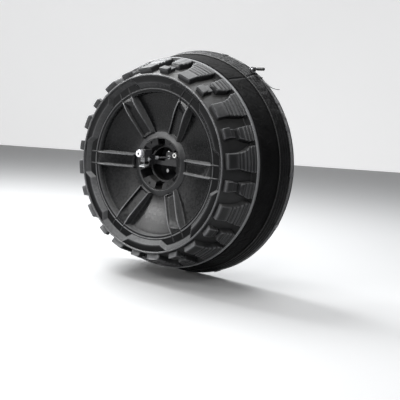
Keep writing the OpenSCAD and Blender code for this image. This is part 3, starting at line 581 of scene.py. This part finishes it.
    # columns run t.. then +angle.. 30 .. then -angle of the NEXT spoke
    order = []
    nc = len(cols)
    nt_ = len(tcols)
    nw = len(wang)
    for k in range(6):
        b = k * nc
        order += [b + i for i in range(nt_)]                     # across the spoke
        order += [b + nt_ + i for i in range(nw)]                # positive side
        order += [b + nt_ + nw]                                  # at 30 degrees
        nb = ((k + 1) % 6) * nc
        order += [nb + nt_ + nw + 1 + i for i in range(nw)]      # negative side of the next spoke
    ring = len(order)
    faces = []
    for i in range(len(rows) - 1):
        for j in range(ring):
            j2 = (j + 1) % ring
            faces.append((i * nc * 6 + order[j], i * nc * 6 + order[j2], (i + 1) * nc * 6 + order[j2], (i + 1) * nc * 6 + order[j]))
    o = new_obj("face_dish", verts, faces, "shell")
    mark_edges(o, marks)
    flat = [1.0 if (ri < 8 or 13 < ri < 19 or 21 < ri < 26) else (0.4 if ri in (8, 13) else 0.0) for ri in range(len(rows))]
    mark_edges(o, [flat[ri] for ri in range(len(rows)) for _ in range(6 * len(cols))], "matt")
    # make the front side the outside
    me = o.data
    if me.polygons[len(me.polygons) // 2].normal.y > 0:
        bm = bmesh.new()
        bm.from_mesh(me)
        bmesh.ops.reverse_faces(bm, faces=bm.faces)
        bm.to_mesh(me)
        bm.free()
    s = o.modifiers.new("thick", "SOLIDIFY")
    s.thickness = 3.3 * MM
    s.offset = -1
    s.use_even_offset = False
    sub(o, 1)
    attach(o, "shell")
    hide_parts("face_shell")
    return o


# ------------------------------------------------------------------ tread shell
K = 42.5 / 111


def skin_r(d):
    return 325.5 + (d - 3) * K


def build_tread():
    prof = [(317.9, 16.0), (317.9, 1.4), (324.3, 1.4), (325.3, 3.0), (326.2, 5.0)]
    for d in (20, 38, 56, 74, 92, 104, 110):
        prof.append((skin_r(d), d))
    prof += [(skin_r(112.3), 112.4), (369.6, 115.0), (372.2, 116.0), (389.0, 116.0), (391.4, 115.6), (393.0, 116.2), (393.9, 118.0),
             (393.9, 128.0), (393.4, 129.4), (392, 129.9), (364.5, 129.9), (364.1, 128.5), (364.1, 121.2),
             (skin_r(104) - 3.5, 108), (skin_r(60) - 3.5, 63), (skin_r(24) - 3.5, 26), (skin_r(8) - 3.5, 20.0), (320.6, 16.0)]
    skin = revolve("tread_skin", prof, "skin", segs=288)
    # painted highlight on the outer edge of the flange
    mark_edges(skin, [1.0 if r > 390 and d < 119 else (0.5 if r > 390 and d < 129 else 0.0) for _ in range(288) for r, d in prof])
    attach(skin, "shell")

    def lug(a, left, right, d0, d1, hgt, sipes, front=True, rear=False, draft=1.6):
        """One lug as a loft along the depth: left and right are [(d, t)] outlines."""
        dl, tl = zip(*left)
        dr, tr = zip(*right)
        st = [(d0, 0.0), (d0 + 0.9, 0.0)]
        inner = sorted(set([d for d in dl + dr if d0 + 3 < d < d1 - 3] + [d0 + 9, d0 + 20, (d0 + d1) / 2]))
        inner = [d for d in inner if d < d1 - 3 and all(abs(d - s) > 4.2 for s in sipes)]
        st += [(d, 0.0) for d in inner]
        for s in sipes:
            st += [(s - 2.9, 0.0), (s - 2.3, 4.6), (s + 2.3, 4.6), (s + 2.9, 0.0)]
        st += [(d1 - 0.9, 0.0), (d1, 0.0)]
        st = sorted(st)
        # keep stations apart
        keep = [st[0]]
        for s in st[1:]:
            if s[0] - keep[-1][0] > 0.35:
                keep.append(s)
        st = keep
        V, F, E = [], [], []
        # side points as (outward offset, share of the height)
        side = [(draft, -0.16), (draft * 0.9, 0.06), (draft * 0.3, 0.74), (0.05, 0.90), (-0.75, 0.985), (-2.2, 1.0)]
        n = 0
        for d, cut in st:
            l, r_ = lerp(d, dl, tl), lerp(d, dr, tr)
            f = max(0.0, 1 - (d - d0) / 28.0) if front else 0.0
            shift = 11.5 * f
            pts = []
            w = r_ - l
            prof_ = [(l - o, u) for o, u in side] + [(l + w * q, 1.0) for q in (0.3, 0.5, 0.7)] + [(r_ + o, u) for o, u in reversed(side)]
            n = len(prof_)
            top = hgt - cut
            for t, u in prof_:
                uu = u * top / hgt if u > 0 else u
                db = d + shift * (1 - max(uu, 0.0))
                rb = skin_r(min(max(db, 3.0), 116.0))
                rr = rb + (skin_r(min(d, 116.0)) + hgt - skin_r(min(max(d + shift, 3), 116.0))) * uu if uu > 0 else rb + hgt * uu
                # straight front face from (328.6, 12.5) to the top edge
                r_base = skin_r(min(max(d + shift, 3), 116.0))
                r_top = skin_r(max(min(d, 116.0), 1.0)) + hgt
                rr = r_base + (r_top - r_base) * uu if uu > 0 else r_base + hgt * uu
                V.append(PT(rr, a, t, db))
                # painted highlights: the lug's top edges, the edges of its sipes, and the front faces of the lugs low
                # on the wheel
                top_edge = 0.9 <= u < 1.0
                near = min([abs(abs(d - q) - 2.9) for q in sipes] + [9.0]) < 0.1
                E.append(0.66 if top_edge and cut == 0 else (0.3 if (near and u == 1.0) else (low(a) * 0.7 if (front and d < d0 + 1.2 and u >= 0.7) else (low(a) * 0.55 if front and d < d0 + 1.2 and u > 0 else 0.0))))
        m = len(st)
        F += grid_faces(m, n)
        F.append(tuple(range(n)))
        F.append(tuple(reversed(range((m - 1) * n, m * n))))
        return V, F, E

    V, F, E = [], [], []
    # how much painted highlight a lug's front face gets by its angle: most at the bottom, least at the top
    low = lambda q: lerp(math.sin(math.radians(q)), [-1, 0, 1], [1.5, 0.5, 0.1])

    def add(vf):
        base = len(V)
        V.extend(vf[0])
        E.extend(vf[2])
        F.extend([tuple(i + base for i in f) for f in vf[1]])

    rng = np.random.RandomState(4)
    for k in range(12):
        a = 7 + 30 * k
        add(lug(a, [(1, -25), (48, -25), (66, -30), (98, -37), (116, -39)], [(1, 28), (30, 28), (60, 31), (78, 37), (100, 52), (116, 54)],
                1.2, 115.6, 22.0, [51, 65, 79, 93, 106]))
        b = a + 15
        add(lug(b, [(1, -12), (29, -9)], [(1, 24), (29, 26)], 1.2, 29.0, 22.0, []))
        add(lug(b, [(27, -8), (52, -10)], [(27, 22), (52, 20)], 27.5, 52.0, 13.0, [], front=False))
        add(lug(b, [(62, -17), (96, -30), (116, -30)], [(62, 20), (100, 25), (116, 25)], 62.0, 115.6, 22.0, [79, 93, 106], front=False))
    lugs = new_obj("tread_lugs", V, F, "tread")
    mark_edges(lugs, E)
    sub(lugs, 1)
    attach(lugs, "shell")
    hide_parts("tread_shell")
    # inner tabs that the face is screwed to
    V, F = [], []
    for k in range(6):
        n0 = len(V)
        n = 16
        for i in range(n + 1):
            aa = 60 * k + 30 - 12 + 24 * i / n
            for r, d in ((294, 16.1), (294.6, 15.9), (320.8, 15.9), (320.8, 20), (294.6, 20), (294, 19.8)):
                V.append(P(r, aa, d))
        F += grid_faces(n + 1, 6, wrap_u=True, base=n0)
        F.append(tuple(n0 + i for i in range(6)))
        F.append(tuple(reversed([n0 + n * 6 + i for i in range(6)])))
    tabs = new_obj("tread_tabs", V, F, "tread")
    bevel(tabs, 0.8)
    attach(tabs, "shell")
    if "face_brackets" in NODES:
        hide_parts("face_brackets")
    return skin, lugs


def build_bead():
    prof = [(318.05, 1.2), (318.05, 0.0), (318.5, -0.9), (319.3, -1.6), (320.6, -2.0), (322.0, -2.1), (323.3, -1.7), (324.1, -0.9),
            (324.5, 0.1), (324.5, 1.2)]
    o = revolve("lip_bead_ring", prof, "bead", segs=288)
    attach(o, "shell")
    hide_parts("lip_bead")


def build_bezel():
    prof = rounded([(98.6, 66.2), (101.0, 66.2), (118.2, 73.2), (118.2, 75.0), (114, 75.0), (101.6, 70.5), (101.6, 78.4), (98.6, 78.4)],
                   [0.8, 1.2, 1.4, 0.3, 0.2, 0.8, 0.3, 0.3])
    o = revolve("bezel_ring", prof, "bezel", segs=192)
    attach(o, "shell")
    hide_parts("hub_bezel")


# ------------------------------------------------------------------ rear band
SPLIT, GAP = 54.0, 0.12
BAND_R, D_FLAT, D_END = 433.0, 272.0, 296.0


def band_prof():
    outer = [(372.1, 133.1), (395.6, 133.1), (397.2, 134.2), (397.9, 136.6)]
    for d in (150, 170, 190, 210, 224):
        outer.append((397 + (d - 133) * 18 / 96, d))
    outer += [(414.3, 227.2), (415.3, 229.6)]

    def rr(d):
        return 415 + (d - 229) * 18 / 43

    for c in (243, 253, 263):
        outer += [(rr(c - 2.3), c - 2.3), (rr(c - 1.6) + 1.0, c - 1.5), (rr(c) + 1.5, c), (rr(c + 1.6) + 1.0, c + 1.5), (rr(c + 2.3), c + 2.3)]
    outer += [(432.2, 270.6), (432.9, 272.6), (433.0, 275), (433.0, 285), (433.0, 295.2), (432.2, 295.9)]
    inner = [(430.2, 295.9), (429.5, 295.2), (429.5, 273), (428.6, 270.8), (414.2, 232.2), (411.2, 228.8), (394.0, 138.4), (392.4, 136.6), (372.1, 136.4)]
    return outer + inner


def build_bands():
    prof = band_prof()
    for side, a0 in (("left", SPLIT), ("right", SPLIT + 180)):
        body = "shell" if side == "left" else "band_right"
        o = revolve("band_shell_" + side, prof, "band", a0 + GAP, a0 + 180 - GAP, segs=150)
        # dull in the hollow behind the tread, shinier on the creased outer ring
        mark_edges(o, [1.0 if d < 226 else (0.5 if d < 230 else 0.0) for _ in range(151) for r, d in prof], "matt")
        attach(o, body)
        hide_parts("band_half_" + side)
        if "band_flange_" + side in NODES:
            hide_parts("band_flange_" + side)
        # rubber seal on the rear edge
        sp = [(426.9, 299.2), (428.5, 299.8), (433.6, 300.0), (434.8, 299.2), (435.2, 297.9), (435.2, 295.6), (433.2, 295.5), (433.2, 296.2),
              (429.3, 296.2), (429.3, 289.1), (427.1, 289.1)]
        s = revolve("seal_" + side, sp, "rubber", a0 + GAP, a0 + 180 - GAP, segs=150)
        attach(s, body)
        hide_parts("rear_seal_" + side)
        # piping: a twisted round cord along the edge
        V, F = [], []
        n, m = 900, 8
        for i in range(n + 1):
            a = a0 + GAP + (180 - 2 * GAP) * i / n
            tw = math.radians(i * 27.0)
            for j in range(m):
                q = 2 * math.pi * j / m
                rad = 2.05 + 0.4 * math.cos(2 * (q - tw))
                V.append(P(417.5 + rad * math.cos(q), a, 228 + rad * math.sin(q)))
        F = grid_faces(n + 1, m, wrap_u=True)
        F.append(tuple(range(m)))
        F.append(tuple(reversed(range(n * m, (n + 1) * m))))
        c = new_obj("piping_" + side, V, F, "rubber")
        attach(c, body)
        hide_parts("edge_piping_" + side)


def set_uv(o, uvs):
    """uvs: one (u, v) per vertex."""
    layer = o.data.uv_layers.new(name="UVMap")
    for poly in o.data.polygons:
        for li in poly.loop_indices:
            layer.data[li].uv = uvs[o.data.loops[li].vertex_index]


def build_straps():
    hin = SPLIT + 180
    for side, a0, a1 in (("left", SPLIT + 9, hin - 6), ("right", hin + 6, SPLIT + 359)):
        body = "shell" if side == "left" else "band_right"
        n = int((a1 - a0) * 2)
        cs = [(-8.4, 0.0), (-8.5, 0.7), (-8.4, 1.4), (-7.4, 1.8), (-5.5, 1.55), (0, 1.6), (5.5, 1.55), (7.4, 1.8), (8.4, 1.4), (8.5, 0.7), (8.4, 0.0)]
        V, U = [], []
        for i in range(n + 1):
            a = a0 + (a1 - a0) * i / n
            q = math.radians(a)
            wig = 0.05 * math.sin(7 * q) + 0.05 * math.sin(17 * q + 1)
            for j, (w, h) in enumerate(cs):
                V.append(P(433.25 + h + wig, a, 284.0 - w))
                U.append((433 * q * MM, w * MM))
        m = len(cs)
        F = grid_faces(n + 1, m, wrap_u=True)
        F.append(tuple(range(m)))
        F.append(tuple(reversed(range(n * m, (n + 1) * m))))
        o = new_obj("strap_web_" + side, V, F, "webbing")
        set_uv(o, U)
        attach(o, body)
        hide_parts("strap_" + side)
    # free ends: flat tongues along a given line, thin, with a folded and sewn tip
    for name, node, line, w in (
            ("tail_long", "strap_tail_long",
             [(286.5, 329.4), (292, 325.0), (300, 319.6), (310, 312.6), (322, 306.0), (334, 302.4), (345, 300.2), (355.6, 299.5)], 7.2),
            ("tail_short", "strap_tail_short",
             [(377.7, 218.2), (382.4, 211.4), (387.4, 204.3), (392.4, 199.0)], 5.2)):
        pts = [Vector((x, z, 0)) for x, z in line]
        # resample
        fine = []
        for i in range(len(pts) - 1):
            for s in range(5):
                fine.append(pts[i].lerp(pts[i + 1], s / 5))
        fine.append(pts[-1])
        V, U = [], []
        L = 0.0
        for i, p in enumerate(fine):
            t = (fine[min(i + 1, len(fine) - 1)] - fine[max(i - 1, 0)]).normalized()
            nrm = Vector((-t.y, t.x, 0))
            if i:
                L += (p - fine[i - 1]).length
            u = i / (len(fine) - 1)
            ww = w * (1 - 0.12 * max(0, u - 0.9) * 10)
            th = 0.75 + (0.35 if u > 0.86 else 0)
            for wv, hv in ((-ww, -th), (-ww, th), (-ww * 0.86, th * 1.2), (0, th), (ww * 0.86, th * 1.2), (ww, th), (ww, -th), (0, -th)):
                q = p + nrm * hv
                V.append((q.x * MM, (284.0 - 200.0 - wv) * MM, q.y * MM))
                U.append((L * MM, wv * MM))
        n = len(fine)
        F = grid_faces(n, 8, wrap_u=True)
        F.append(tuple(range(8)))
        F.append(tuple(reversed(range((n - 1) * 8, n * 8))))
        o = new_obj(name, V, F, "webbing")
        set_uv(o, U)
        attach(o, "band_right")
        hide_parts(node)


build_face()
build_tread()
build_bead()
build_bezel()
build_bands()
build_straps()

# ------------------------------------------------------------------ carried CAD nodes
for n, o in NODES.items():
    if o.hide_render:
        continue
    slot = next(s["material_slot"] for s in frame["record"]["subparts"] if s["node"] == n)
    o.data.materials.clear()
    o.data.materials.append(M[{"tilt_bracket": "bracket", "arm_rod": "arm_dark"}.get(n, slot)])
    lo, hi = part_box(n)
    small = min(hi - lo)
    o.data.polygons.foreach_set("use_smooth", [False] * len(o.data.polygons))
    w = {"hub_cup": 1.0, "camera_body": 1.2, "mount_plate": 0.5, "tilt_bracket": 0.5, "arm_crossbar": 0.6,
         "buckle_base": 0.4, "strap_guides_left": 0.5, "strap_guides_right": 0.5, "strap_keeper": 0.4}.get(n, 0.25)
    bevel(o, w, 2, 35)

# ------------------------------------------------------------------ camera
az, el, roll = math.radians(34.886), math.radians(7.38), math.radians(4.0)
back = Vector((math.sin(az) * math.cos(el), -math.cos(az) * math.cos(el), math.sin(el)))
fwd = -back
right = fwd.cross(Vector((0, 0, 1))).normalized()
up = right.cross(fwd)
r2 = right * math.cos(roll) + up * math.sin(roll)
u2 = -right * math.sin(roll) + up * math.cos(roll)
cd = bpy.data.cameras.new("view")
cd.sensor_width = 36.0
cd.lens = 61.99
cam = bpy.data.objects.new("view", cd)
bpy.context.scene.collection.objects.link(cam)
mw = Matrix(((r2.x, u2.x, back.x, 1.58278), (r2.y, u2.y, back.y, -2.12473), (r2.z, u2.z, back.z, 0.20561), (0, 0, 0, 1)))
cam.matrix_world = mw
cd.clip_start = 0.05
cd.clip_end = 60
bpy.context.scene.camera = cam

# ------------------------------------------------------------------ stage
lo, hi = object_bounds()
floor_z = CAD_LO.z - 0.002
bm = bmesh.new()
bmesh.ops.create_grid(bm, x_segments=4, y_segments=4, size=9.0)
me = bpy.data.meshes.new("floor")
bm.to_mesh(me)
bm.free()
floor = bpy.data.objects.new("floor", me)
floor.location = (0, 0, floor_z)
bpy.context.scene.collection.objects.link(floor)
fm = bpy.data.materials.new("floor_pale")
fm.use_nodes = True
fb = fm.node_tree.nodes["Principled BSDF"]
fb.inputs["Base Color"].default_value = (0.40, 0.40, 0.40, 1)
fb.inputs["Roughness"].default_value = 0.9
floor.data.materials.append(fm)

bm = bmesh.new()
bmesh.ops.create_grid(bm, x_segments=4, y_segments=4, size=9.0)
me = bpy.data.meshes.new("backdrop")
bm.to_mesh(me)
bm.free()
wall = bpy.data.objects.new("backdrop", me)
wall.location = (-3.6, 5.6, 0)
wall.rotation_euler = (math.radians(90), 0, math.radians(34.9))
bpy.context.scene.collection.objects.link(wall)
wm = bpy.data.materials.new("backdrop_pale")
wm.use_nodes = True
wb = wm.node_tree.nodes["Principled BSDF"]
wb.inputs["Base Color"].default_value = (0.6, 0.6, 0.6, 1)
wb.inputs["Roughness"].default_value = 1.0
wb.inputs["Emission Color"].default_value = (1, 1, 1, 1)
wb.inputs["Emission Strength"].default_value = 0.55
wall.data.materials.append(wm)

w = bpy.data.worlds.new("studio")
bpy.context.scene.world = w
w.use_nodes = True
bg = w.node_tree.nodes["Background"]
bg.inputs[0].default_value = (0.93, 0.95, 1.0, 1)
bg.inputs[1].default_value = 0.22


def area(name, loc, target, size, power, col=(1, 1, 1)):
    ld = bpy.data.lights.new(name, "AREA")
    ld.shape = "RECTANGLE"
    ld.size, ld.size_y = size
    ld.energy = power
    ld.color = col
    lo_ = bpy.data.objects.new(name, ld)
    bpy.context.scene.collection.objects.link(lo_)
    lo_.location = loc
    lo_.rotation_mode = "QUATERNION"
    lo_.rotation_quaternion = (Vector(target) - Vector(loc)).to_track_quat("-Z", "Y")
    return lo_


area("sky_back", (0.2, 1.1, 2.8), (0, 0, 0.2), (2.0, 1.3), 70, (0.97, 0.985, 1.0))
area("sky_left", (-1.8, 0.1, 2.5), (0, -0.1, -0.1), (1.5, 1.5), 215, (0.97, 0.985, 1.0))
area("sky_front", (0.1, -1.3, 3.2), (0, -0.1, 0), (2.0, 1.2), 55)
area("low_left", (-1.95, -2.7, 0.42), (0, -0.1, -0.2), (0.6, 0.40), 52)
area("front_high", (-0.75, -2.35, 1.4), (0, -0.13, 0.1), (1.1, 0.35), 30)
area("high_right", (1.3, -1.7, 1.35), (-0.2, -0.2, -0.1), (0.6, 0.6), 20)
bpy.context.scene.view_settings.view_transform = "Standard"
